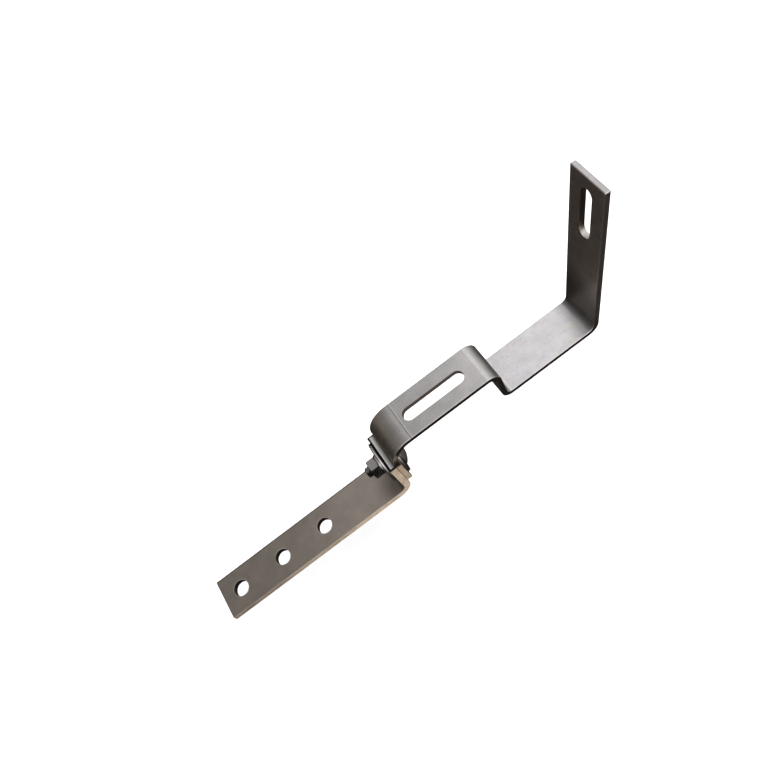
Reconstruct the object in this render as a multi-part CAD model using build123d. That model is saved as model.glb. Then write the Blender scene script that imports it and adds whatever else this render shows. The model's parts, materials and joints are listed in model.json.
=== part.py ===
"""Adjustable roof hook for a solar rail: a foot strap, a hook strap and the bolt that clamps them.

Millimetres. X runs along the straps from the foot towards the rail, Y across them and Z up off the
roof. The origin is on the foot's underside, in the middle of its row of screw holes.
"""
from build123d import *
from math import asin, cos, radians, sin, tan
import os

# Flat bar: both straps have one width, and the foot's bar is the thicker one.
strap_width = 30.0
foot_thickness = 5.0
hook_thickness = 4.0
edge_round = 0.6
end_chamfer = 0.5

# Foot: a flat with a row of screw holes, turned up into a leg at its +X end.
screw_hole_count = 3
screw_hole_pitch = 36.0
screw_hole_diameter = 11.0
foot_end_margin = 14.5
foot_heel_run = 66.0
foot_bend_inner_radius = 6.0
foot_leg_height = 41.0

# Hook: a leg beside the foot's leg, a slotted arm, a step down, a seat and a leaning upright.
hook_leg_lift = 15.0
arm_height = 61.0
arm_run = 83.5
arm_bend_inner_radius = 13.0
step_drop = 31.5
step_upper_inner_radius = 5.0
step_lower_inner_radius = 3.0
seat_run = 69.0
upright_lean = 11.0
upright_length = 124.5
upright_bend_inner_radius = 5.0

# Slots in the hook.
slot_width = 9.5
arm_slot_length = 47.0
arm_slot_start = 23.0
rail_slot_length = 39.0
rail_slot_top_margin = 8.5

# Clamping bolt, with a large washer on each side and a spring washer under the nut.
bolt_diameter = 8.0
bolt_length = 25.0
bolt_height = 29.0
bolt_head_diameter = 20.6
bolt_head_height = 4.9
bolt_head_rim = 0.9
bolt_head_bands = 4
bolt_socket_flats = 5.0
bolt_socket_depth = 2.6
nut_flats = 13.0
nut_height = 6.5
hex_chamfer_angle = 30.0
hex_face_share = 0.95
bolt_point_chamfer = 1.0
washer_diameter = 30.0
washer_bore = 8.4
washer_thickness = 2.0
spring_washer_diameter = 14.8
spring_washer_bore = 8.2
spring_washer_thickness = 2.0
spring_washer_gap = 1.0
spring_washer_slant = 35.0
thread_clearance = 0.05
hook_hole_clearance = 0.5

# Height adjustment: the bolt rides with the hook in an upright slot in the foot's leg.
adjust_slot_clearance = 0.5
adjust_slot_end_clearance = 0.25
travel_up = 3.0
travel_down = 2.5

# Places that follow from the sizes above.
first_hole_x = -(screw_hole_count - 1) * screw_hole_pitch / 2
last_hole_x = -first_hole_x
foot_start_x = first_hole_x - foot_end_margin
joint_x = last_hole_x + foot_heel_run
foot_leg_inner_x = joint_x - foot_thickness
hook_leg_outer_x = joint_x + hook_thickness
web_x = joint_x + arm_run
seat_height = arm_height - step_drop
upright_x = web_x + hook_thickness + seat_run


def lean_direction(along, outward):
    """Vector in the XZ plane, along the upright and out from its rail face."""
    angle = radians(upright_lean)
    return Vector(
        along * sin(angle) + outward * cos(angle), 0, along * cos(angle) - outward * sin(angle)
    )


def bent_strap(corners, inner_radii, thickness):
    """Flat bar swept along its centre line, with its long edges rounded and its ends chamfered."""
    points = [(point.X, point.Z) for point in corners]
    centre_radii = [radius + thickness / 2 for radius in inner_radii]
    with BuildLine(Plane.XZ) as path:
        FilletPolyline(*points, radius=centre_radii)
    start = path.line @ 0
    section_plane = Plane(origin=start, x_dir=(0, 1, 0), z_dir=path.line % 0)
    section = section_plane * RectangleRounded(strap_width, thickness, edge_round)
    strap = sweep(section, path=path.line)
    for share in (0, 1):
        end_face = strap.faces().sort_by_distance(path.line @ share)[0]
        strap = chamfer(end_face.edges(), end_chamfer)
    return strap


def through_hole(plane, diameter, thickness):
    """Cylinder centred on a plane in the middle of a strap, long enough to go through it."""
    return plane * Cylinder(diameter / 2, 3 * thickness)


def through_slot(plane, length, width, thickness):
    """Round-ended cutter centred on a plane, lying along the plane's X direction."""
    outline = SlotOverall(length, width)
    return plane * extrude(outline, amount=1.5 * thickness, both=True)


def foot_strap():
    """L-shaped foot: flat with screw holes, and a leg with the slot that the bolt slides in."""
    mid = foot_thickness / 2
    corners = [
        Vector(foot_start_x, 0, mid),
        Vector(joint_x - mid, 0, mid),
        Vector(joint_x - mid, 0, foot_leg_height),
    ]
    strap = bent_strap(corners, [foot_bend_inner_radius], foot_thickness)
    for index in range(screw_hole_count):
        hole_x = first_hole_x + index * screw_hole_pitch
        hole_plane = Plane(origin=(hole_x, 0, mid))
        strap -= through_hole(hole_plane, screw_hole_diameter, foot_thickness)
    slot_plane = Plane(
        origin=(joint_x - mid, 0, bolt_height + (travel_up - travel_down) / 2),
        x_dir=(0, 0, 1),
        z_dir=(1, 0, 0),
    )
    slot_length = bolt_diameter + 2 * adjust_slot_end_clearance + travel_up + travel_down
    adjust_slot_width = bolt_diameter + 2 * adjust_slot_clearance
    return strap - through_slot(slot_plane, slot_length, adjust_slot_width, foot_thickness)


def hook_strap():
    """Hook: leg, arm, step, seat and leaning upright in one bent bar."""
    mid = hook_thickness / 2
    arm_z = arm_height - mid
    seat_z = seat_height - mid
    seat_corner = Vector(upright_x, 0, seat_height)
    leg_x = joint_x + mid
    web_mid_x = web_x + mid
    # The centre lines of the seat and of the upright cross at this corner.
    lean = radians(upright_lean)
    corner_x = upright_x + (mid - mid * sin(lean)) / cos(lean)
    upright_top = seat_corner + lean_direction(upright_length, mid)
    corners = [
        Vector(leg_x, 0, hook_leg_lift),
        Vector(leg_x, 0, arm_z),
        Vector(web_mid_x, 0, arm_z),
        Vector(web_mid_x, 0, seat_z),
        Vector(corner_x, 0, seat_z),
        upright_top,
    ]
    strap = bent_strap(
        corners,
        [
            arm_bend_inner_radius,
            step_upper_inner_radius,
            step_lower_inner_radius,
            upright_bend_inner_radius,
        ],
        hook_thickness,
    )
    hole_plane = Plane(origin=(leg_x, 0, bolt_height), z_dir=(1, 0, 0))
    strap -= through_hole(hole_plane, bolt_diameter + 2 * hook_hole_clearance, hook_thickness)
    arm_plane = Plane(origin=(joint_x + arm_slot_start + arm_slot_length / 2, 0, arm_z))
    strap -= through_slot(arm_plane, arm_slot_length, slot_width, hook_thickness)
    slot_centre = upright_length - rail_slot_top_margin - rail_slot_length / 2
    rail_plane = Plane(
        origin=seat_corner + lean_direction(slot_centre, mid),
        x_dir=lean_direction(1, 0),
        z_dir=lean_direction(0, 1),
    )
    return strap - through_slot(rail_plane, rail_slot_length, slot_width, hook_thickness)


def hexagon_prism(flats, height, chamfered_ends):
    """Hexagon from z = 0 to height, with the listed ends turned down to a 30 degree cone."""
    prism = extrude(RegularPolygon(flats / 2, 6, major_radius=False), amount=height)
    face_radius = hex_face_share * flats / 2
    base_radius = face_radius + height / tan(radians(hex_chamfer_angle))
    cone = Cone(base_radius, face_radius, height, align=(Align.CENTER, Align.CENTER, Align.MIN))
    if "top" in chamfered_ends:
        prism &= cone
    if "bottom" in chamfered_ends:
        prism &= Pos(0, 0, height) * Rot(180, 0, 0) * cone
    return prism


def axis_plane(x, facing):
    """Plane across the bolt's axis at x, facing +X or -X."""
    return Plane(origin=(x, 0, bolt_height), x_dir=(0, 1, 0), z_dir=(facing, 0, 0))


def cup_head():
    """Low domed head standing on z = 0, its dome turned as a few conical bands on one sphere."""
    head_radius = bolt_head_diameter / 2
    dome_rise = bolt_head_height - bolt_head_rim
    sphere_radius = (head_radius**2 + dome_rise**2) / (2 * dome_rise)
    band_angle = asin(head_radius / sphere_radius) / bolt_head_bands
    outline = [(0, 0)]
    for band in range(bolt_head_bands + 1):
        drop = sphere_radius * (1 - cos(band * band_angle))
        outline.append((sphere_radius * sin(band * band_angle), bolt_head_height - drop))
    outline.append((head_radius, 0))
    return revolve(Plane.XZ * make_face(Polyline(*outline, close=True)), Axis.Z)


def clamp_bolt():
    """Cup-head bolt with a hexagon socket: the head is on the hook's side, the point past the nut."""
    head = cup_head()
    socket = extrude(RegularPolygon(bolt_socket_flats / 2, 6, major_radius=False), amount=bolt_head_height)
    head -= Pos(0, 0, bolt_head_height - bolt_socket_depth) * socket
    shank = Pos(0, 0, -bolt_length) * Cylinder(
        bolt_diameter / 2, bolt_length, align=(Align.CENTER, Align.CENTER, Align.MIN)
    )
    point = shank.faces().sort_by(Axis.Z)[0]
    shank = chamfer(point.edges(), bolt_point_chamfer)
    return axis_plane(hook_leg_outer_x + washer_thickness, 1) * (head + shank)


def flat_washer(x):
    """Large flat washer whose face nearer the foot is at x."""
    ring = Cylinder(washer_diameter / 2, washer_thickness) - Cylinder(
        washer_bore / 2, 2 * washer_thickness
    )
    return axis_plane(x + washer_thickness / 2, 1) * ring


def spring_washer():
    """Square-section ring cut through on a slant and pressed flat by the nut."""
    ring = Cylinder(spring_washer_diameter / 2, spring_washer_thickness) - Cylinder(
        spring_washer_bore / 2, 2 * spring_washer_thickness
    )
    cut = Box(spring_washer_diameter, spring_washer_gap, 4 * spring_washer_thickness)
    ring -= Pos(spring_washer_diameter / 2, 0, 0) * Rot(spring_washer_slant, 0, 0) * cut
    middle_x = foot_leg_inner_x - washer_thickness - spring_washer_thickness / 2
    return axis_plane(middle_x, -1) * ring


def clamp_nut():
    """Hexagon nut, chamfered at both ends, on the foot's side."""
    nut = hexagon_prism(nut_flats, nut_height, ["top", "bottom"])
    nut -= Cylinder(bolt_diameter / 2 + thread_clearance, 3 * nut_height)
    return axis_plane(foot_leg_inner_x - washer_thickness - spring_washer_thickness, -1) * nut


nodes = {
    "foot_strap": foot_strap(),
    "hook_strap": hook_strap(),
    "clamp_bolt": clamp_bolt(),
    "flat_washers": Compound(
        [flat_washer(foot_leg_inner_x - washer_thickness), flat_washer(hook_leg_outer_x)]
    ),
    "spring_washer": spring_washer(),
    "clamp_nut": clamp_nut(),
}

os.makedirs("parts", exist_ok=True)
for name, shape in nodes.items():
    export_step(shape, f"parts/{name}.step")
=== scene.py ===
"""Finishes, threaded clamp bolt and studio for an adjustable roof hook, as a Blender add-on.

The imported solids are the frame. X runs along the straps, Y across them and Z up off the roof.
Lengths in the property groups are in metres; the finishes work in millimetres.
"""
import json
from math import cos, pi, radians, sin
from types import SimpleNamespace

import bpy
import numpy as np
from bpy.props import FloatProperty, FloatVectorProperty, IntProperty, PointerProperty
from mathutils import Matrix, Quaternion, Vector


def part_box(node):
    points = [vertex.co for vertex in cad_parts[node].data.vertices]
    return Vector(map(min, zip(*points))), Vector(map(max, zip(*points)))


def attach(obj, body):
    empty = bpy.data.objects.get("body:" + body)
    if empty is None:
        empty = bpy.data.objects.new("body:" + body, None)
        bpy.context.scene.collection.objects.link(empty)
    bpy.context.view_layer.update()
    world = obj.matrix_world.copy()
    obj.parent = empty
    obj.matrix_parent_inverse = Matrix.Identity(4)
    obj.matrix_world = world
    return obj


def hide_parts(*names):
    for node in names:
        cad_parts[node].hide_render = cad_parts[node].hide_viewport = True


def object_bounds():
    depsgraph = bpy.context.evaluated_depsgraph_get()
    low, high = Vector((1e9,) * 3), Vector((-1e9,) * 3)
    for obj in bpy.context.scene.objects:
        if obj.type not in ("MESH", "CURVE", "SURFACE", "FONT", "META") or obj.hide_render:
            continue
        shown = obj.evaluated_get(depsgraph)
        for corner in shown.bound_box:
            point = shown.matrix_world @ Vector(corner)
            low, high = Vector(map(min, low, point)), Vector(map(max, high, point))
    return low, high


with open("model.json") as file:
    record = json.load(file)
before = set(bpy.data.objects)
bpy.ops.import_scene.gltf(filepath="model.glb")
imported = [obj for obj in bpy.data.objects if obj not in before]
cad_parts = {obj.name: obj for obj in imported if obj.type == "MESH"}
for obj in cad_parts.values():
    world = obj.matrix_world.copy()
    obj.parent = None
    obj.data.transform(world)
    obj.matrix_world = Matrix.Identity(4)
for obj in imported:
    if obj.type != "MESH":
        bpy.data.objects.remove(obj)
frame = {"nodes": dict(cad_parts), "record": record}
cad_low, cad_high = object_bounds()

bl_info = {
    "name": "Roof Hook Finishes",
    "version": (1, 0, 0),
    "blender": (4, 5, 0),
    "location": "3D View > Sidebar > Roof Hook",
    "description": "Steel finishes, bolt thread and studio for an adjustable roof hook",
    "category": "Object",
}

MM = 0.001
SHARP_ANGLE = radians(38)

foot_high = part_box("foot_strap")[1]
hook_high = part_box("hook_strap")[1]
bolt_low, bolt_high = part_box("clamp_bolt")
washer_low, washer_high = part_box("flat_washers")
bolt_axis_z = (bolt_low.z + bolt_high.z) / 2
mounts = {mount["name"]: mount for mount in frame["record"]["mounts"]}


# ---------------------------------------------------------------- sizes and colours


class StrapSizes(bpy.types.PropertyGroup):
    """Where the finishes change along the two straps."""

    edge_zone: FloatProperty(
        name="Edge zone", description="Width of the cut edge's own finish on each side of a strap",
        default=0.45 * MM, unit="LENGTH", precision=5)
    slot_width: FloatProperty(
        name="Slot width", description="Width of the arm's and the upright's slots",
        default=9.5 * MM, unit="LENGTH", precision=5)
    arm_slot_length: FloatProperty(
        name="Arm slot length", description="Overall length of the arm's slot",
        default=47 * MM, unit="LENGTH", precision=5)
    rail_slot_length: FloatProperty(
        name="Rail slot length", description="Overall length of the upright's slot",
        default=39 * MM, unit="LENGTH", precision=5)
    upright_lean: FloatProperty(
        name="Upright lean", description="Angle of the upright off the vertical",
        default=radians(11), subtype="ANGLE")
    screw_hole_pitch: FloatProperty(
        name="Screw hole pitch", description="Distance between neighbouring screw holes",
        default=36 * MM, unit="LENGTH", precision=5)
    brake_mark_offset: FloatProperty(
        name="Brake mark offset",
        description="From the arm slot's middle back to the press brake's mark",
        default=26 * MM, unit="LENGTH", precision=5)
    brake_mark_width: FloatProperty(
        name="Brake mark width", description="Width of the groove that the press brake left",
        default=0.28 * MM, unit="LENGTH", precision=5)
    rail_slot_margin: FloatProperty(
        name="Rail slot margin", description="From the upright's slot to the upright's end",
        default=8.5 * MM, unit="LENGTH", precision=5)
    foot_half_thickness: FloatProperty(
        name="Foot half thickness", description="Half the thickness of the foot strap",
        default=2.5 * MM, unit="LENGTH", precision=5)
    seat_height: FloatProperty(
        name="Seat height", description="Upper face of the seat above the foot's underside",
        default=29.5 * MM, unit="LENGTH", precision=5)
    web_start: FloatProperty(
        name="Web start", description="Where the step's web begins along the hook",
        default=185.5 * MM, unit="LENGTH", precision=5)
    seat_end: FloatProperty(
        name="Seat end", description="Where the seat meets the upright",
        default=258.5 * MM, unit="LENGTH", precision=5)


class SteelColours(bpy.types.PropertyGroup):
    """Reflection colours of the bare steel."""

    # Brownish tint: partly the steel's own colour, partly a painted warm reflection.
    foot_face: FloatVectorProperty(
        name="Foot face", description="Rolled face of the foot strap",
        default=(0.285, 0.252, 0.220), subtype="COLOR", min=0, max=1)
    foot_middle: FloatVectorProperty(
        name="Foot middle", description="Lighter steel between the last screw hole and the bend",
        default=(0.355, 0.312, 0.277), subtype="COLOR", min=0, max=1)
    # Painted shade: browner, darker steel towards the foot's bend, where the leg shades the face.
    foot_heel_shade: FloatVectorProperty(
        name="Foot heel", description="Browner steel towards the foot's bend",
        default=(0.23, 0.195, 0.165), subtype="COLOR", min=0, max=1)
    foot_cut: FloatVectorProperty(
        name="Foot cut edge", description="Sheared edge of the foot strap",
        default=(0.62, 0.49, 0.365), subtype="COLOR", min=0, max=1)
    # Torn band on the foot's edge; also the colour of the painted lit patches on the hook's cut
    # edge.
    cut_torn_and_lit: FloatVectorProperty(
        name="Foot cut edge, torn", description="Browner torn band of the sheared edge",
        default=(0.44, 0.335, 0.235), subtype="COLOR", min=0, max=1)
    # Painted shade: the walls inside the screw holes.
    hole_wall_shade: FloatVectorProperty(
        name="Hole wall", description="Dark walls of the screw holes",
        default=(0.12, 0.10, 0.09), subtype="COLOR", min=0, max=1)
    # Painted highlight: bright rims round the screw holes.
    hole_rim_highlight: FloatVectorProperty(
        name="Hole rim", description="Worn bright rims of the screw holes",
        default=(0.72, 0.68, 0.62), subtype="COLOR", min=0, max=1)
    leg_top: FloatVectorProperty(
        name="Leg top", description="Grey face on the top end of the foot's leg",
        default=(0.47, 0.46, 0.445), subtype="COLOR", min=0, max=1)
    seat_face: FloatVectorProperty(
        name="Seat face", description="Paler face of the hook's seat",
        default=(0.68, 0.675, 0.675), subtype="COLOR", min=0, max=1)
    seat_pink: FloatVectorProperty(
        name="Seat tint", description="Faint violet film on the seat",
        default=(0.66, 0.62, 0.66), subtype="COLOR", min=0, max=1)
    seat_yellow: FloatVectorProperty(
        name="Seat warm tint", description="Faint straw-coloured film on the seat",
        default=(0.72, 0.68, 0.60), subtype="COLOR", min=0, max=1)
    hook_face: FloatVectorProperty(
        name="Hook face", description="Rolled face of the hook strap",
        default=(0.60, 0.585, 0.575), subtype="COLOR", min=0, max=1)
    # Browner upright: partly the steel's own tint, partly a painted warm reflection.
    upright_tint_and_reflection: FloatVectorProperty(
        name="Upright face", description="Browner face of the hook's upright",
        default=(0.66, 0.60, 0.55), subtype="COLOR", min=0, max=1)
    # Partly a real stain, partly painted shade and warm reflection round the hook's bends.
    hook_stain_and_shade: FloatVectorProperty(
        name="Hook stain", description="Darker, browner steel round the hook's bends",
        default=(0.51, 0.45, 0.365), subtype="COLOR", min=0, max=1)
    # Painted shade: the near-black of the hook's cut edge.
    hook_cut_shade: FloatVectorProperty(
        name="Hook cut edge", description="Cut edge of the hook strap",
        default=(0.055, 0.045, 0.040), subtype="COLOR", min=0, max=1)
    # Painted shade: the walls inside the hook's two slots.
    slot_wall_shade: FloatVectorProperty(
        name="Slot wall", description="Dark walls of the hook's two slots",
        default=(0.12, 0.085, 0.06), subtype="COLOR", min=0, max=1)
    # Painted highlight: bright steel on the near edges, in the brake's groove and on the washers'
    # lines and glints.
    rim_highlight: FloatVectorProperty(
        name="Worn rim", description="Polished steel where an edge has worn bright",
        default=(0.80, 0.77, 0.74), subtype="COLOR", min=0, max=1)
    fastener: FloatVectorProperty(
        name="Fastener", description="Bolt and nut",
        default=(0.44, 0.43, 0.415), subtype="COLOR", min=0, max=1)
    washer: FloatVectorProperty(
        name="Washer", description="Flat and spring washers",
        default=(0.17, 0.140, 0.155), subtype="COLOR", min=0, max=1)


class FastenerSizes(bpy.types.PropertyGroup):
    """Clamp bolt and flat washers."""

    head_height: FloatProperty(
        name="Head height", description="From the washer to the top of the head's dome",
        default=4.9 * MM, unit="LENGTH", precision=5)
    head_rim: FloatProperty(
        name="Head rim", description="Height of the head's upright rim",
        default=0.9 * MM, unit="LENGTH", precision=5)
    socket_flats: FloatProperty(
        name="Socket flats", description="Across the flats of the hexagon socket",
        default=5 * MM, unit="LENGTH", precision=5)
    socket_depth: FloatProperty(
        name="Socket depth", description="From the dome's top down to the socket's floor",
        default=2.6 * MM, unit="LENGTH", precision=5)
    diameter: FloatProperty(
        name="Diameter", description="Outer diameter of the thread",
        default=8 * MM, unit="LENGTH", precision=5)
    point_chamfer: FloatProperty(
        name="Point chamfer", description="Chamfer at the bolt's point",
        default=1 * MM, unit="LENGTH", precision=5)
    pitch: FloatProperty(
        name="Pitch", description="Advance of the thread in one turn",
        default=1.25 * MM, unit="LENGTH", precision=5)
    depth: FloatProperty(
        name="Depth", description="Depth of the thread's groove",
        default=0.70 * MM, unit="LENGTH", precision=5)
    washer_bore: FloatProperty(
        name="Washer bore", description="Hole of the flat washers",
        default=8.4 * MM, unit="LENGTH", precision=5)
    washer_thickness: FloatProperty(
        name="Washer thickness", description="Thickness of the flat washers",
        default=2 * MM, unit="LENGTH", precision=5)
    washer_round: FloatProperty(
        name="Washer round", description="Rounding of the flat washers' edges",
        default=0.45 * MM, unit="LENGTH", precision=5)
    steps_round: IntProperty(
        name="Steps round", description="Grid steps round the bolt and the washers",
        default=120, min=24)
    steps_per_turn: IntProperty(
        name="Steps per turn", description="Grid steps along one turn of the thread",
        default=12, min=6)
    dome_rows: IntProperty(
        name="Dome rows", description="Grid rows from the socket over the dome to the rim",
        default=12, min=4)


class Studio(bpy.types.PropertyGroup):
    """Camera, floor and lights."""

    azimuth: FloatProperty(
        name="Azimuth", description="Camera's bearing; 0 looks along +Y",
        default=radians(1.846), subtype="ANGLE")
    elevation: FloatProperty(
        name="Elevation", description="Camera's height above the horizon",
        default=radians(58.834), subtype="ANGLE")
    roll: FloatProperty(
        name="Roll", description="Camera's turn about its own axis",
        default=radians(-38.544), subtype="ANGLE")
    distance: FloatProperty(
        name="Distance", description="From the camera to the point it aims at",
        default=516.65 * MM, unit="LENGTH")
    aim: FloatVectorProperty(
        name="Aim", description="Point at the middle of the picture",
        default=(128.35 * MM, 16.95 * MM, 80.04 * MM), subtype="TRANSLATION", precision=5)
    lens: FloatProperty(
        name="Lens", description="Focal length on a 36 mm sensor, in millimetres",
        default=39.0, unit="CAMERA")
    floor_reach: FloatProperty(
        name="Floor reach", description="Half the width of the floor", default=2.6, unit="LENGTH")
    floor_drop: FloatProperty(
        name="Floor drop",
        description="From the foot's underside down to the floor, which holds nothing",
        default=45 * MM, unit="LENGTH", precision=5)
    floor_paper: FloatVectorProperty(
        name="Floor paper", description="Matt off-white of the floor",
        default=(0.90, 0.90, 0.90), subtype="COLOR", min=0, max=1)
    overhead_power: FloatProperty(
        name="Overhead power", description="Power of the wide softbox overhead",
        default=75.0, unit="POWER")
    near_power: FloatProperty(
        name="Near power", description="Power of the softbox on the near side",
        default=9.0, unit="POWER")
    sky_dark: FloatVectorProperty(
        name="Dark sky", description="Light from the foot's side",
        default=(0.26, 0.25, 0.24), subtype="COLOR", min=0, soft_max=2)
    sky_bright: FloatVectorProperty(
        name="Bright sky", description="Light from the rail's side, overhead",
        default=(1.45, 1.44, 1.46), subtype="COLOR", min=0, soft_max=2)
    sky_below: FloatVectorProperty(
        name="Sky below", description="What the steel reflects from under the horizon",
        default=(0.035, 0.030, 0.026), subtype="COLOR", min=0, soft_max=2)
    sky_below_rail: FloatVectorProperty(
        name="Sky below, rail side", description="Low light from the rail's side",
        default=(0.20, 0.19, 0.18), subtype="COLOR", min=0, soft_max=2)
    wall: FloatVectorProperty(
        name="Wall", description="Plain pale wall that the camera sees behind the floor",
        default=(0.93, 0.93, 0.93), subtype="COLOR", min=0, soft_max=2)


# ---------------------------------------------------------------- shader maths


class Field:
    """A number that varies over a surface. Arithmetic on it adds Math nodes to its finish."""

    def __init__(self, finish, socket):
        self.finish = finish
        self.socket = socket

    def math(self, operation, *others):
        """Field of a Math node on this number and the others."""
        sockets = dict(enumerate((self, *others)))
        node = self.finish.add("ShaderNodeMath", {"operation": operation}, sockets)
        return Field(self.finish, node.outputs[0])

    def __add__(self, other):
        return self.math("ADD", other)

    __radd__ = __add__

    def __sub__(self, other):
        return self.math("SUBTRACT", other)

    def __rsub__(self, other):
        return self * -1 + other

    def __mul__(self, other):
        return self.math("MULTIPLY", other)

    __rmul__ = __mul__

    def __truediv__(self, other):
        return self.math("DIVIDE", other)

    def __pow__(self, other):
        return self.math("POWER", other)

    def __neg__(self):
        return self * -1

    def __abs__(self):
        return self.math("ABSOLUTE")

    def at_least(self, other):
        return self.math("MAXIMUM", other)

    def at_most(self, other):
        return self.math("MINIMUM", other)

    def rise(self, low, high):
        """0 below low and 1 above high, with a smooth step between them."""
        node = self.finish.add(
            "ShaderNodeMapRange", {"interpolation_type": "SMOOTHSTEP"},
            {"Value": self, "From Min": low, "From Max": high})
        return Field(self.finish, node.outputs[0])

    def fall(self, low, high):
        """1 below low and 0 above high."""
        return 1 - self.rise(low, high)

    def ridge(self, middle, width):
        """Bell curve: exp(-((value - middle) / width) squared)."""
        return (((self - middle) / width) ** 2 * -1).math("EXPONENT")


class Shader:
    """Node tree of a material or a sky, with a place to read along x, y and z."""

    def __init__(self, holder, coordinate, scale):
        holder.use_nodes = True
        self.holder = holder
        self.tree = holder.node_tree
        self.tree.nodes.clear()
        coordinates = self.add("ShaderNodeTexCoord")
        scaled = self.add(
            "ShaderNodeVectorMath", {"operation": "SCALE"},
            {0: coordinates.outputs[coordinate], "Scale": scale})
        self.place = scaled.outputs[0]
        parts = self.add("ShaderNodeSeparateXYZ", {}, {0: self.place})
        self.x, self.y, self.z = (Field(self, parts.outputs[axis]) for axis in range(3))

    def add(self, kind, settings=None, inputs=None):
        """Any node: its settings are set first, then the values or links of its sockets."""
        node = self.tree.nodes.new(kind)
        for key, value in (settings or {}).items():
            setattr(node, key, value)
        for key, value in (inputs or {}).items():
            if isinstance(value, Field):
                value = value.socket
            if isinstance(value, bpy.types.NodeSocket):
                self.tree.links.new(value, node.inputs[key])
            else:
                node.inputs[key].default_value = value
        return node

    def noise(self, size, stretch=(1, 1, 1), detail=3.0, roughness=0.55, shift=(0, 0, 0)):
        """Cloud noise from 0 to 1, its features about size millimetres and drawn out by stretch."""
        factors = tuple(1 / (size * share) for share in stretch)
        node = self.add(
            "ShaderNodeVectorMath", {"operation": "MULTIPLY_ADD"},
            {0: self.place, 1: factors, 2: shift})
        cloud = self.add(
            "ShaderNodeTexNoise", {"noise_dimensions": "3D"},
            {"Vector": node.outputs[0], "Scale": 1.0, "Detail": detail, "Roughness": roughness})
        return Field(self, cloud.outputs["Fac"])

    def blend(self, first, second, share):
        """Colour that goes from first to second as share goes from 0 to 1."""
        node = self.add(
            "ShaderNodeMix", {"data_type": "RGBA"},
            {0: share, 6: as_colour(first), 7: as_colour(second)})
        return node.outputs[2]

    def shade(self, colour, amount):
        """Colour multiplied by a number that varies."""
        node = self.add(
            "ShaderNodeVectorMath", {"operation": "SCALE"}, {0: colour, "Scale": amount})
        return node.outputs[0]


class Finish(Shader):
    """One procedural material. Positions are Object coordinates in millimetres."""

    def __init__(self, name):
        super().__init__(bpy.data.materials.new(name), "Object", 1 / MM)

    def bump(self, height):
        """Normal tilted by a height field given in millimetres."""
        node = self.add(
            "ShaderNodeBump", {}, {"Strength": 1.0, "Distance": MM, "Height": height})
        return node.outputs["Normal"]

    def steel(self, colour, roughness, metallic, normal):
        """Principled shader that ends the tree."""
        shader = self.add(
            "ShaderNodeBsdfPrincipled", {},
            {"Base Color": colour, "Roughness": roughness, "Metallic": metallic, "Normal": normal})
        self.add("ShaderNodeOutputMaterial", {}, {"Surface": shader.outputs[0]})
        return self.holder


def as_colour(value):
    """Three numbers become four; a socket stays as it is."""
    return value if isinstance(value, bpy.types.NodeSocket) else (*value, 1.0)


def slot_distance(along, across, half_straight):
    """Distance from a slot's middle line: a straight stretch with a half circle at each end."""
    past_end = (abs(along) - half_straight).at_least(0)
    return (past_end ** 2 + across ** 2) ** 0.5


def rolled_grain(finish):
    """Mill grain of rolled strip: fine lines along the strap and soft clouds, each from 0 to 1."""
    lines = finish.noise(0.35, stretch=(40, 1, 40), detail=2.0)
    clouds = finish.noise(9.0, detail=4.0, roughness=0.6)
    return lines, clouds


def dress(names, material):
    """Gives CAD nodes their finish."""
    for name in names:
        node = frame["nodes"][name]
        node.data.materials.clear()
        node.data.materials.append(material)


# ---------------------------------------------------------------- finish of the foot


def foot_finish(sizes, colours):
    """Brownish rolled faces, bare sheared edges, hole walls in painted shade and the leg's top in a
    black border with painted light and shade.
    """
    finish = Finish("foot_steel")
    lines, clouds = rolled_grain(finish)
    streaks = finish.noise(0.5, stretch=(14, 1, 14), detail=2.0)
    half_width = foot_high.y / MM
    near_band = (half_width - sizes.edge_zone / MM, half_width - 0.05)
    far_band = (half_width - 0.06, half_width - 0.01)
    cut = (-finish.y).rise(*near_band).at_least(finish.y.rise(*far_band))
    colour = foot_faces(finish, colours, lines, clouds)
    colour = finish.blend(colour, foot_cut_colour(finish, colours, streaks), cut)
    colour = foot_holes(finish, colours, colour, clouds, sizes.screw_hole_pitch / MM)
    colour = foot_leg_top(finish, colours, colour, clouds, sizes.foot_half_thickness / MM)
    roughness = 0.36 + 0.12 * clouds + 0.10 * lines + 0.12 * cut
    height = lines * 0.010 + clouds * 0.010 + streaks * cut * 0.03
    return finish.steel(colour, roughness, 1 - 0.55 * cut, finish.bump(height))


def foot_faces(finish, colours, lines, clouds):
    """Rolled faces: lighter past the screw holes, with painted shade that browns them at the heel
    and a painted dark line on the far corner.
    """
    half_width = foot_high.y / MM
    past_holes = (10, 62)
    heel_along, heel_up = (78, 96), (8, 40)
    corner_across = (half_width - 1.1, half_width - 0.6)
    corner_start, corner_end = (4.1, 4.5), (5.1, 5.6)
    # Painted shade near the bend, broken up by cloud noise.
    heel_shade = finish.x.rise(*heel_along) * finish.z.fall(*heel_up)
    face = finish.blend(colours.foot_face, colours.foot_middle, finish.x.rise(*past_holes))
    face = finish.blend(face, colours.foot_heel_shade, heel_shade * (0.3 + 0.7 * clouds))
    face = finish.shade(face, 0.84 + 0.16 * lines + 0.16 * clouds.rise(0.25, 0.75))
    # Painted shade: a dark line along the far rounded top edge, standing in for its reflection of
    # the dark horizon.
    corner_up = finish.z.rise(*corner_start) * finish.z.fall(*corner_end)
    return finish.shade(face, 1 - 0.8 * (finish.y.rise(*corner_across) * corner_up))


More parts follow.
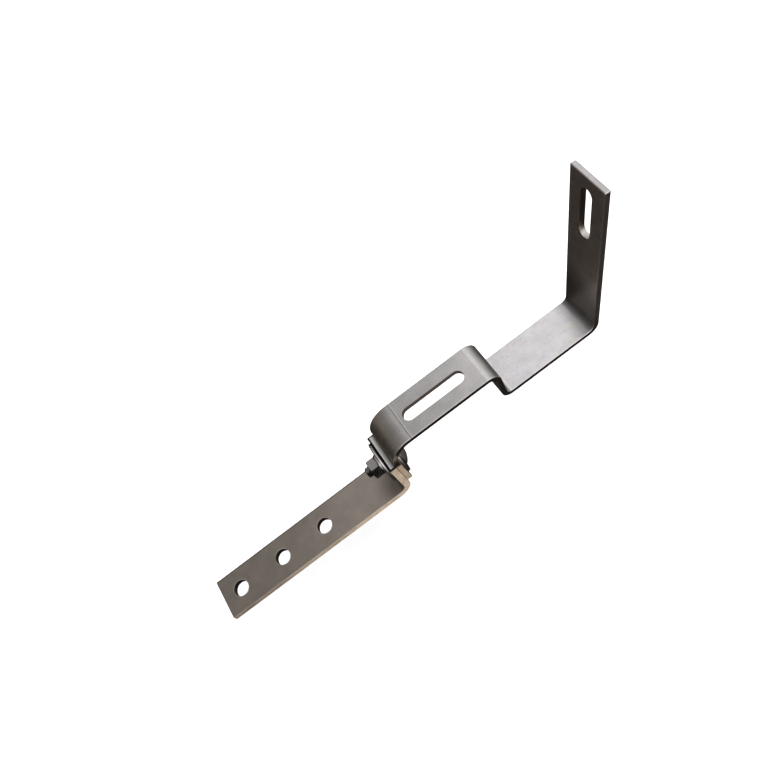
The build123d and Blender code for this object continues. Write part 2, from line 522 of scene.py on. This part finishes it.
def foot_cut_colour(finish, colours, streaks):
    """Sheared edge with torn streaks, brightening along the foot towards its leg."""
    whole_foot = (-50, 95)
    colour = finish.blend(colours.foot_cut, colours.cut_torn_and_lit, streaks.rise(0.35, 0.7))
    return finish.shade(colour, 0.42 + 0.58 * finish.x.rise(*whole_foot))


def foot_holes(finish, colours, colour, clouds, pitch):
    """Painted shade on the walls of the three screw holes, each with a patchy painted highlight on
    its rim on the upper face.
    """
    wall_radii = (5.52, 5.62)
    rim_radius, rim_width, rim_start = 5.85, 0.25, (4.4, 4.8)
    distances = [
        ((finish.x - index * pitch) ** 2 + finish.y ** 2) ** 0.5 for index in (-1, 0, 1)]
    nearest = distances[0].at_most(distances[1]).at_most(distances[2])
    # Painted shade inside the holes.
    colour = finish.blend(colour, colours.hole_wall_shade, nearest.fall(*wall_radii) * 0.9)
    # Painted highlight round each hole's rim.
    rim_highlight = nearest.ridge(rim_radius, rim_width) * finish.z.rise(*rim_start)
    return finish.blend(colour, colours.hole_rim_highlight, rim_highlight * clouds.rise(0.3, 0.55) * 0.6)


def foot_leg_top(finish, colours, colour, clouds, half_thickness):
    """Top end of the foot's leg: a grey face inside a black border, with painted shade darker
    towards the hook and painted light towards the far side.
    """
    half_width = foot_high.y / MM
    leg_top = foot_high.z / MM
    leg_middle = foot_high.x / MM - half_thickness
    face_shift, face_half = 0.35, (1.35, 1.65)
    face_across = (half_width - 1.3, half_width - 0.95)
    dark_side, far_side = (leg_middle - 1.6, leg_middle + 2.2), (-9, 13)
    inside = abs(finish.x - leg_middle - face_shift).fall(*face_half)
    inside = inside * abs(finish.y).fall(*face_across)
    # Painted light and shade: lighter away from the hook and towards the far side, darker towards
    # the hook.
    light_tone = 1.55 - 1.15 * finish.x.rise(*dark_side) + 0.25 * finish.y.rise(*far_side)
    top = finish.shade(colours.leg_top, light_tone * (0.85 + 0.3 * clouds) * inside + 0.02)
    return finish.blend(colour, top, finish.z.rise(leg_top - 1.0, leg_top - 0.8))


# ---------------------------------------------------------------- finish of the hook


def hook_finish(sizes, colours):
    """Grey rolled faces with the brake's mark, painted highlights, painted shade on the cut edges
    and slot walls, and a bend stained and in painted shade.
    """
    finish = Finish("hook_steel")
    lines, clouds = rolled_grain(finish)
    speckle = finish.noise(1.2, detail=3.0, roughness=0.7, shift=(7, 3, 1))
    half_width = hook_high.y / MM
    rim_band = (half_width - 0.85, half_width - 0.55)
    near_band = (half_width - 0.14, half_width - 0.03)
    far_band = (half_width - 0.65, half_width - 0.3)
    arm_middle, web = 165, sizes.web_start / MM
    zones = hook_zones(finish, sizes)
    face = hook_faces(finish, sizes, colours, zones)
    mottle = 0.14 * clouds.rise(0.30, 0.70) + 0.12 * speckle.rise(0.30, 0.70)
    face = finish.shade(face, 0.82 + 0.10 * lines + mottle)
    # Painted highlight along the near top edge, stronger towards the step.
    rim_share = (0.35 + 0.45 * finish.x.rise(arm_middle, web)) * (1 - 0.75 * zones.upright)
    rim_highlight = (-finish.y).rise(*rim_band) * clouds.rise(0.30, 0.50)
    face = finish.blend(face, colours.rim_highlight, rim_highlight * rim_share)
    groove, groove_shade_line = brake_mark(finish, sizes, zones.arm)
    # Painted highlight in the brake's groove and painted shade on the line beside it.
    face = finish.blend(face, colours.rim_highlight, groove * 0.75)
    face = finish.shade(face, 1 - 0.75 * (groove_shade_line * clouds.rise(0.35, 0.6)))
    cut = (-finish.y).rise(*near_band).at_least(finish.y.rise(*far_band))
    colour = finish.blend(face, hook_cut_colour(finish, colours, zones), cut)
    arm_wall, rail_wall = slot_walls(finish, sizes, zones.along)
    # Painted shade on the slot walls.
    colour = finish.blend(colour, colours.slot_wall_shade, arm_wall.at_least(rail_wall * 0.9) * 0.9)
    roughness = 0.30 + 0.12 * clouds + 0.08 * lines + 0.15 * cut
    metallic = 1 - 0.35 * arm_wall - 0.5 * cut * zones.bare_edge - 0.1 * cut
    height = lines * 0.008 + clouds * 0.010 + speckle * 0.004 - groove * 0.03
    return finish.steel(colour, roughness, metallic, finish.bump(height))


def hook_zones(finish, sizes):
    """Masks that are 1 on one stretch of the hook, and the distance along the upright.

    along is measured up the leaning upright from the middle of its slot.
    """
    leg_x, leg_top = foot_high.x / MM, foot_high.z / MM
    arm_top = mounts["arm_slot"]["pos_m"][2] / MM
    rail_x, _, rail_z = (value / MM for value in mounts["rail_slot"]["pos_m"])
    web, seat_end, seat_top = (
        size / MM for size in (sizes.web_start, sizes.seat_end, sizes.seat_height))
    upright_end = (sizes.rail_slot_length / 2 + sizes.rail_slot_margin) / MM
    stain_and_shade_along = (leg_x + 4, leg_x + 22)
    web_start, web_end = (web - 3, web + 1), (web + 5, web + 8)
    leg_along = (leg_x + 4.5, leg_x + 6.5)
    x, z = finish.x, finish.z
    along = (x - rail_x) * sin(sizes.upright_lean) + (z - rail_z) * cos(sizes.upright_lean)
    web_up = z.fall(arm_top - 5, arm_top - 1) * z.rise(seat_top + 1.5, seat_top + 5.5)
    # Painted light: heights where the hook's cut edge is lit beige, below the leg's top and round
    # the arm's bend; the band between stays in painted shade.
    lit_patch_up = (z.fall(leg_top - 3, leg_top + 1) + 0.5 * z.ridge(arm_top - 9, 4)).at_most(1)
    upright_up = z.rise(seat_top + 0.5, seat_top + 10.5) * along.fall(
        upright_end - 1, upright_end - 0.5)
    return SimpleNamespace(
        along=along,
        arm=z.rise(arm_top - 0.6, arm_top - 0.2),
        # Stretch of the lower bend that takes the stain and the painted shade.
        bend=x.fall(*stain_and_shade_along) * z.fall(arm_top - 1.5, arm_top + 1),
        web=x.rise(*web_start) * x.fall(*web_end) * web_up,
        seat=x.rise(web + 1, web + 8) * z.fall(seat_top + 6.5, seat_top + 14.5),
        seat_shadow=x.rise(seat_end - 15, seat_end + 2) * z.fall(seat_top + 16.5, seat_top + 48.5),
        upright=x.rise(seat_end - 1, seat_end + 1) * upright_up,
        bare_edge=x.fall(*leg_along) * lit_patch_up)


def hook_faces(finish, sizes, colours, zones):
    """Rolled faces before their grain: arm with painted light towards the crest, paler seat, bend
    stained and in painted shade, upright browner with a painted warm reflection, web in painted
    shade.
    """
    arm_light_rise, crest_light_rise = (128, 160), (158, sizes.web_start / MM - 3)
    tints = finish.noise(5.0, detail=2.0, shift=(3, 11, 5))
    warm = finish.noise(7.0, detail=3.0, shift=(13, 1, 8))
    # Painted light: the arm brightens towards the step's crest, as the crest's highlight spreads.
    light_tone = 0.74 + 0.05 * finish.x.rise(*arm_light_rise) + 0.12 * finish.x.rise(*crest_light_rise)
    face = finish.shade(colours.hook_face, light_tone)
    face = finish.blend(face, colours.seat_face, zones.seat)
    face = finish.blend(face, colours.seat_pink, zones.seat * tints.rise(0.46, 0.66) * 0.8)
    face = finish.blend(face, colours.seat_yellow, zones.seat * warm.rise(0.52, 0.70) * 0.6)
    # Stain and painted shade on the lower bend.
    face = finish.blend(face, colours.hook_stain_and_shade, zones.bend * (0.45 + 0.55 * warm))
    # Upright tint, partly a painted warm reflection.
    face = finish.blend(face, colours.upright_tint_and_reflection, zones.upright)
    # Painted shade: darker on the step's web and on the seat towards the upright.
    return finish.shade(face, (1 - 0.57 * zones.web) * (1 - 0.62 * zones.seat_shadow))


def brake_mark(finish, sizes, arm):
    """The press brake's mark across the arm: its groove with a painted highlight and a painted
    shade line beside it.
    """
    mark_x = mounts["arm_slot"]["pos_m"][0] / MM - sizes.brake_mark_offset / MM
    line_offset, line_width = 0.7, 0.3
    place = finish.x + (finish.noise(6.0, detail=1.0) - 0.5) * 0.5
    groove = place.ridge(mark_x, sizes.brake_mark_width / MM) * arm
    return groove, place.ridge(mark_x - line_offset, line_width) * arm


def hook_cut_colour(finish, colours, zones):
    """Cut edge in painted shade, with beige patches of painted light beside the foot's leg and
    lighter on the upright.
    """
    streaks = finish.noise(0.6, stretch=(10, 1, 10), detail=2.0)
    # Painted shade on the cut edge, with painted light in the beige patches.
    colour = finish.blend(colours.hook_cut_shade, colours.cut_torn_and_lit, zones.bare_edge)
    return finish.shade(colour, (0.7 + 0.6 * streaks) * (1 + 1.3 * zones.upright))


def slot_walls(finish, sizes, along):
    """Masks of the painted shade on the arm's slot wall and on the rail slot's, whose lower round
    end stays lit.
    """
    arm_x, _, arm_top = (value / MM for value in mounts["arm_slot"]["pos_m"])
    width = sizes.slot_width / MM
    arm_length, rail_length = sizes.arm_slot_length / MM, sizes.rail_slot_length / MM
    wall = (width / 2 + 0.02, width / 2 + 0.12)
    below_arm = (arm_top - 6, arm_top - 5)
    lit_end = (3.5 - rail_length / 2, 5 - rail_length / 2)
    from_arm_slot = slot_distance(finish.x - arm_x, finish.y, (arm_length - width) / 2)
    from_rail_slot = slot_distance(along, finish.y, (rail_length - width) / 2)
    arm_wall = from_arm_slot.fall(*wall) * finish.z.rise(*below_arm)
    return arm_wall, from_rail_slot.fall(*wall) * along.rise(*lit_end)


# ---------------------------------------------------------------- finish of the fasteners


def fastener_finish(name, colour, roughness, shade_start):
    """Turned or pressed steel with small scuffs.

    On the foot's side it has painted shade from a distance towards -Y, broken by small painted
    glints.
    """
    finish = Finish(name)
    foot_side = (foot_high.x / MM - 6, foot_high.x / MM - 1)
    scuffs = finish.noise(1.1, detail=4.0, roughness=0.7)
    fine = finish.noise(0.25, detail=2.0)
    scuffed = tuple(0.6 * part for part in colour)
    shaded = finish.blend(colour, scuffed, scuffs)
    # Painted shade on the near faces, with painted glints where the scuffs are strongest.
    near_shade = (-finish.y).rise(shade_start, shade_start + 0.6) * finish.x.fall(*foot_side)
    near_shade = near_shade * (1 - 0.9 * scuffs.rise(0.54, 0.62))
    shaded = finish.shade(shaded, (0.9 + 0.2 * fine) * (1 - 0.88 * near_shade))
    normal = finish.bump(scuffs * 0.02 + fine * 0.006)
    return finish.steel(shaded, roughness + 0.16 * scuffs, 1.0, normal)


def washer_finish(name, colours, middle_x, half_spacing):
    """Dark washers with a painted highlight round the middle of each rim and small painted glints.
    """
    finish = Finish(name)
    line_half = (0.30, 0.45)
    scuffs = finish.noise(1.4, detail=4.0, roughness=0.7)
    fine = finish.noise(0.3, detail=2.0)
    from_middle = abs(abs(finish.x - middle_x / MM) - half_spacing / MM)
    # Painted highlight: small glints and a line round each rim's middle.
    glint = scuffs.rise(0.60, 0.66)
    painted_highlight = (0.75 * from_middle.fall(*line_half)).at_least(glint * 0.8)
    colour = finish.blend(colours.washer, colours.rim_highlight, painted_highlight)
    colour = finish.shade(colour, 0.85 + 0.3 * fine)
    normal = finish.bump(scuffs * 0.03 + fine * 0.006)
    return finish.steel(colour, 0.30 - 0.14 * glint + 0.1 * fine, 1.0, normal)


# ---------------------------------------------------------------- surfaces


def turned_points(seat_x, heights, radii, angles):
    """Grid round the bolt's axis, one point for each height, radius and angle.

    x = seat + height, y = radius cos(angle), z = axis + radius sin(angle).
    """
    heights, radii, angles = np.broadcast_arrays(heights, radii, angles)
    across, up = radii * np.cos(angles), radii * np.sin(angles)
    return np.stack([seat_x + heights, across, bolt_axis_z + up], axis=-1)


def grid_quads(index):
    """Quads between the rows of an index grid, closed round its columns, facing outwards."""
    after = np.roll(index, -1, axis=1)
    corners = [index[:-1], index[1:], after[1:], after[:-1]]
    return np.stack(corners, axis=-1).reshape(-1, 4).tolist()


def pole_fan(pole, ring):
    """Triangles from one vertex to a ring of indices."""
    return np.stack([np.full_like(ring, pole), ring, np.roll(ring, -1)], axis=-1).tolist()


def make_piece(name, points, faces, finish):
    """New object at the origin, smooth but for edges where the surface turns sharply."""
    mesh = bpy.data.meshes.new(name)
    mesh.from_pydata(points.reshape(-1, 3).tolist(), [], faces)
    mesh.shade_smooth()
    mesh.set_sharp_from_angle(angle=SHARP_ANGLE)
    mesh.materials.append(finish)
    piece = bpy.data.objects.new(name, mesh)
    bpy.context.scene.collection.objects.link(piece)
    return piece


def thread_radius(sizes, height, angles, length):
    """Radius of the threaded shank at a height below the head, height and angles being a grid.

    The groove's share of the depth is a flattened triangle wave of height / pitch + angle / turn.
    It fades in under the head, and the point's chamfer cuts it off.
    """
    steepness, crest, plain_turns = 1.35, 0.2, 0.4
    turns = height / sizes.pitch + angles / (2 * pi)
    wave = 1 - abs(2 * (turns % 1) - 1)
    fade_in = np.clip(height / sizes.pitch - plain_turns, 0, 1)
    groove = np.clip(steepness * wave - crest, 0, 1) * fade_in
    radius = sizes.diameter / 2 - sizes.depth * groove
    return np.minimum(radius, sizes.diameter / 2 - sizes.point_chamfer + (length - height))


def head_rows(sizes, angles):
    """Heights and radii of the head's rows, from the socket's floor over the dome to the washer.

    The socket's wall is a hexagon, radius = half flats / cos(angle from the nearest flat's middle).
    Rows on the dome go evenly from it to the rim, at height = top - R + sqrt(R^2 - radius^2). The
    rim is upright, with a small bevel at the washer.
    """
    rim_levels, bevel = np.array([0.75, 0.2, 0.0]), np.array([0.0, 0.0, 0.2])
    head_radius = (bolt_high.z - bolt_low.z) / 2
    rise = sizes.head_height - sizes.head_rim
    sphere = (head_radius ** 2 + rise ** 2) / (2 * rise)
    hexagon = sizes.socket_flats / 2 / np.cos(angles % (pi / 3) - pi / 6)
    floor = np.full_like(angles, sizes.head_height - sizes.socket_depth)
    share = np.linspace(0, 1, sizes.dome_rows)[:, None]
    dome_radii = (1 - share) * hexagon + share * head_radius
    dome = sizes.head_height - sphere + np.sqrt(sphere ** 2 - dome_radii ** 2)
    rim_heights = rim_levels[:, None] * sizes.head_rim
    rim_radii = head_radius - bevel[:, None] * sizes.head_rim
    heights = np.vstack([floor, dome, rim_heights + 0 * angles])
    return heights, np.vstack([hexagon, dome_radii, rim_radii + 0 * angles])


def shank_rows(sizes, length, angles):
    """Heights below the head and radii of the threaded shank's rows, down to the point."""
    below = np.arange(0, length, sizes.pitch / sizes.steps_per_turn)[:, None] + 0 * angles
    below = np.vstack([below, np.full_like(angles, length)])
    return below, thread_radius(sizes, below, angles, length)


def bolt_surface(sizes, seat_x):
    """Points and faces of the clamp bolt: rows turned round its axis, with a pole at each end."""
    angles = np.linspace(0, 2 * pi, sizes.steps_round, endpoint=False)
    length = seat_x - bolt_low.x
    head_heights, head_radii = head_rows(sizes, angles)
    below, shank_radii = shank_rows(sizes, length, angles)
    heights = np.vstack([head_heights, -below])
    rings = turned_points(seat_x, heights, np.vstack([head_radii, shank_radii]), angles)
    poles = [[seat_x + heights[0, 0], 0, bolt_axis_z], [seat_x - length, 0, bolt_axis_z]]
    index = np.arange(heights.size).reshape(heights.shape)
    faces = grid_quads(index)
    faces += pole_fan(heights.size, index[0]) + pole_fan(heights.size + 1, index[-1][::-1])
    return np.vstack([rings.reshape(-1, 3), poles]), faces


def washer_surface(sizes, middle_x, first_index):
    """Points and faces of a flat washer: a round-cornered rectangle turned round the bolt's axis.

    Corner arcs are centre + rounding (cos, sin) of an angle that goes once round the section.
    """
    angles = np.linspace(0, 2 * pi, sizes.steps_round, endpoint=False)
    corner_rows = 6
    corner = np.linspace(0, pi / 2, corner_rows)
    around = (corner + np.arange(4)[:, None] * pi / 2).ravel()
    face_height = sizes.washer_thickness / 2 - sizes.washer_round
    outer_centre = (washer_high.z - washer_low.z) / 2 - sizes.washer_round
    bore_centre = sizes.washer_bore / 2 + sizes.washer_round
    side = np.repeat([1, -1, -1, 1], corner_rows) * face_height
    centre = np.repeat([outer_centre, outer_centre, bore_centre, bore_centre], corner_rows)
    heights = (side + sizes.washer_round * np.cos(around))[:, None]
    radii = (centre + sizes.washer_round * np.sin(around))[:, None]
    points = turned_points(middle_x, heights, radii, angles)
    index = first_index + np.arange(points.size // 3).reshape(around.size, angles.size)
    return points.reshape(-1, 3), grid_quads(np.vstack([index, index[:1]]))


# ---------------------------------------------------------------- stage


def make_floor(studio):
    """Flat matt square some way under the foot: the part hangs free over it."""
    reach = studio.floor_reach
    height = cad_low.z - studio.floor_drop
    corners = np.array([[-1, -1], [1, -1], [1, 1], [-1, 1]]) * reach
    mesh = bpy.data.meshes.new("floor")
    mesh.from_pydata([(x, y, height) for x, y in corners.tolist()], [], [(0, 1, 2, 3)])
    floor = bpy.data.objects.new("floor", mesh)
    bpy.context.scene.collection.objects.link(floor)
    finish = Finish("floor_paper")
    grain = finish.noise(40.0, detail=2.0)
    colour = finish.shade(studio.floor_paper, 0.99 + 0.01 * grain)
    floor.data.materials.append(finish.steel(colour, 0.9, 0.0, finish.bump(grain * 0.01)))
    floor.visible_glossy = False


def soft_light(name, offset, size, power):
    """Rectangular softbox that faces the part's middle and isn't reflected in the steel."""
    target = (cad_low + cad_high) / 2
    lamp = bpy.data.lights.new(name, "AREA")
    lamp.shape = "RECTANGLE"
    lamp.size, lamp.size_y = size
    lamp.energy = power
    holder = bpy.data.objects.new(name, lamp)
    holder.location = target + Vector(offset)
    holder.rotation_euler = (-Vector(offset)).to_track_quat("-Z", "Y").to_euler()
    holder.visible_glossy = False
    bpy.context.scene.collection.objects.link(holder)


def make_lights(studio):
    """One wide softbox overhead and a lower one on the near side; the steel reflects the sky."""
    soft_light("overhead_softbox", (0.2, 0.2, 2.2), (3.0, 3.0), studio.overhead_power)
    soft_light("near_softbox", (-0.3, -1.4, 0.7), (1.2, 0.8), studio.near_power)


def make_sky(studio):
    """Sky that brightens from the foot's side to the rail's and is dark under the horizon.

    It lights and is reflected, while the camera itself sees a plain pale wall behind the floor.
    Bands are shares of the sky's unit direction.
    """
    faint_band, bright_band, far_band = (-0.6, 0.1), (-0.06, 0.24), (0.34, 0.75)
    near_across, near_up = (-0.36, -0.12), (0.5, 0.7)
    low_rail_band, horizon = (0.35, 0.85), (-0.15, 0.55)
    sky = Shader(bpy.data.worlds.new("studio_sky"), "Generated", 1.0)
    bpy.context.scene.world = sky.holder
    level = 0.19 * sky.x.rise(*faint_band) + 0.81 * sky.x.rise(*bright_band)
    level = level * (1 - 0.65 * sky.x.rise(*far_band))
    near_strip = 1.6 * sky.y.fall(*near_across) * sky.z.rise(*near_up)
    above = sky.blend(studio.sky_dark, studio.sky_bright, level.at_least(near_strip))
    below = sky.blend(studio.sky_below, studio.sky_below_rail, sky.x.rise(*low_rail_band))
    colour = sky.blend(below, above, sky.z.rise(*horizon))
    lighting = sky.add("ShaderNodeBackground", {}, {"Color": colour, "Strength": 1.0})
    wall = sky.add(
        "ShaderNodeBackground", {}, {"Color": as_colour(studio.wall), "Strength": 1.0})
    rays = sky.add("ShaderNodeLightPath")
    seen = sky.add(
        "ShaderNodeMixShader", {},
        {0: rays.outputs["Is Camera Ray"], 1: lighting.outputs[0], 2: wall.outputs[0]})
    sky.add("ShaderNodeOutputWorld", {}, {"Surface": seen.outputs[0]})


def make_camera(studio):
    """Camera that looks at the aim point from its azimuth and elevation, turned by its roll."""
    back = Vector((
        sin(studio.azimuth) * cos(studio.elevation),
        -cos(studio.azimuth) * cos(studio.elevation),
        sin(studio.elevation)))
    data = bpy.data.cameras.new("camera")
    data.lens = studio.lens
    data.clip_start = 0.01
    data.clip_end = 50.0
    camera = bpy.data.objects.new("camera", data)
    camera.location = Vector(studio.aim) + back * studio.distance
    camera.rotation_mode = "QUATERNION"
    level = (-back).to_track_quat("-Z", "Y")
    camera.rotation_quaternion = level @ Quaternion((0, 0, 1), studio.roll)
    bpy.context.scene.collection.objects.link(camera)
    bpy.context.scene.camera = camera
    bpy.context.scene.view_settings.view_transform = "Standard"


# ---------------------------------------------------------------- operators


class HOOK_OT_finish_straps(bpy.types.Operator):
    """Give the foot strap and the hook strap their steel"""

    bl_idname = "roof_hook.finish_straps"
    bl_label = "Finish Straps"

    def execute(self, context):
        scene = context.scene
        dress(["foot_strap"], foot_finish(scene.hook_straps, scene.hook_colours))
        dress(["hook_strap"], hook_finish(scene.hook_straps, scene.hook_colours))
        return {"FINISHED"}


class HOOK_OT_make_clamp_bolt(bpy.types.Operator):
    """Make the cup-head clamp bolt with its thread"""

    bl_idname = "roof_hook.make_clamp_bolt"
    bl_label = "Make Clamp Bolt"

    def execute(self, context):
        colour = context.scene.hook_colours.fastener
        finish = fastener_finish("bolt_steel", colour, roughness=0.24, shade_start=0.8)
        points, faces = bolt_surface(context.scene.hook_fasteners, washer_high.x)
        bolt = make_piece("threaded_clamp_bolt", points, faces, finish)
        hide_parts("clamp_bolt")
        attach(bolt, "hook")
        return {"FINISHED"}


class HOOK_OT_make_flat_washers(bpy.types.Operator):
    """Make the two large flat washers with rounded edges"""

    bl_idname = "roof_hook.make_flat_washers"
    bl_label = "Make Flat Washers"

    def execute(self, context):
        sizes = context.scene.hook_fasteners
        half = sizes.washer_thickness / 2
        far_points, far_faces = washer_surface(sizes, washer_high.x - half, 0)
        near_points, near_faces = washer_surface(sizes, washer_low.x + half, len(far_points))
        middle_x = (washer_low.x + washer_high.x) / 2
        half_spacing = (washer_high.x - washer_low.x) / 2 - half
        washers = make_piece(
            "rounded_flat_washers", np.vstack([far_points, near_points]), far_faces + near_faces,
            washer_finish("washer_steel", context.scene.hook_colours, middle_x, half_spacing))
        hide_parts("flat_washers")
        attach(washers, "hook")
        return {"FINISHED"}


class HOOK_OT_finish_nut(bpy.types.Operator):
    """Give the hexagon nut and the spring washer their steel"""

    bl_idname = "roof_hook.finish_nut"
    bl_label = "Finish Nut"

    def execute(self, context):
        colours = context.scene.hook_colours
        spring_low, spring_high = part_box("spring_washer")
        spring_x = (spring_low.x + spring_high.x) / 2
        nut_steel = fastener_finish(
            "nut_steel", colours.fastener, roughness=0.26, shade_start=3.4)
        spring_steel = washer_finish("spring_steel", colours, spring_x, half_spacing=0.0)
        dress(["clamp_nut"], nut_steel)
        dress(["spring_washer"], spring_steel)
        return {"FINISHED"}


class HOOK_OT_set_stage(bpy.types.Operator):
    """Make the pale floor, the soft lights and the camera"""

    bl_idname = "roof_hook.set_stage"
    bl_label = "Set Stage"

    def execute(self, context):
        studio = context.scene.hook_studio
        make_floor(studio)
        make_lights(studio)
        make_sky(studio)
        make_camera(studio)
        return {"FINISHED"}


class HOOK_PT_panel(bpy.types.Panel):
    """Roof hook tools"""

    bl_idname = "HOOK_PT_panel"
    bl_label = "Roof Hook"
    bl_space_type = "VIEW_3D"
    bl_region_type = "UI"
    bl_category = "Roof Hook"

    def draw(self, context):
        for operator in operators:
            self.layout.operator(operator.bl_idname)


operators = (
    HOOK_OT_finish_straps, HOOK_OT_make_clamp_bolt, HOOK_OT_make_flat_washers, HOOK_OT_finish_nut,
    HOOK_OT_set_stage)
groups = {
    "hook_straps": StrapSizes, "hook_colours": SteelColours, "hook_fasteners": FastenerSizes,
    "hook_studio": Studio}


def register():
    """Adds the classes to Blender and the property groups to the scene."""
    for cls in (*groups.values(), *operators, HOOK_PT_panel):
        bpy.utils.register_class(cls)
    for name, group in groups.items():
        setattr(bpy.types.Scene, name, PointerProperty(type=group))


def unregister():
    """Takes the property groups off the scene and the classes out of Blender."""
    for name in groups:
        delattr(bpy.types.Scene, name)
    for cls in reversed((*groups.values(), *operators, HOOK_PT_panel)):
        bpy.utils.unregister_class(cls)


def main():
    """Runs every operator in order."""
    register()
    bpy.ops.roof_hook.finish_straps()
    bpy.ops.roof_hook.make_clamp_bolt()
    bpy.ops.roof_hook.make_flat_washers()
    bpy.ops.roof_hook.finish_nut()
    bpy.ops.roof_hook.set_stage()


if __name__ == "__main__":
    main()
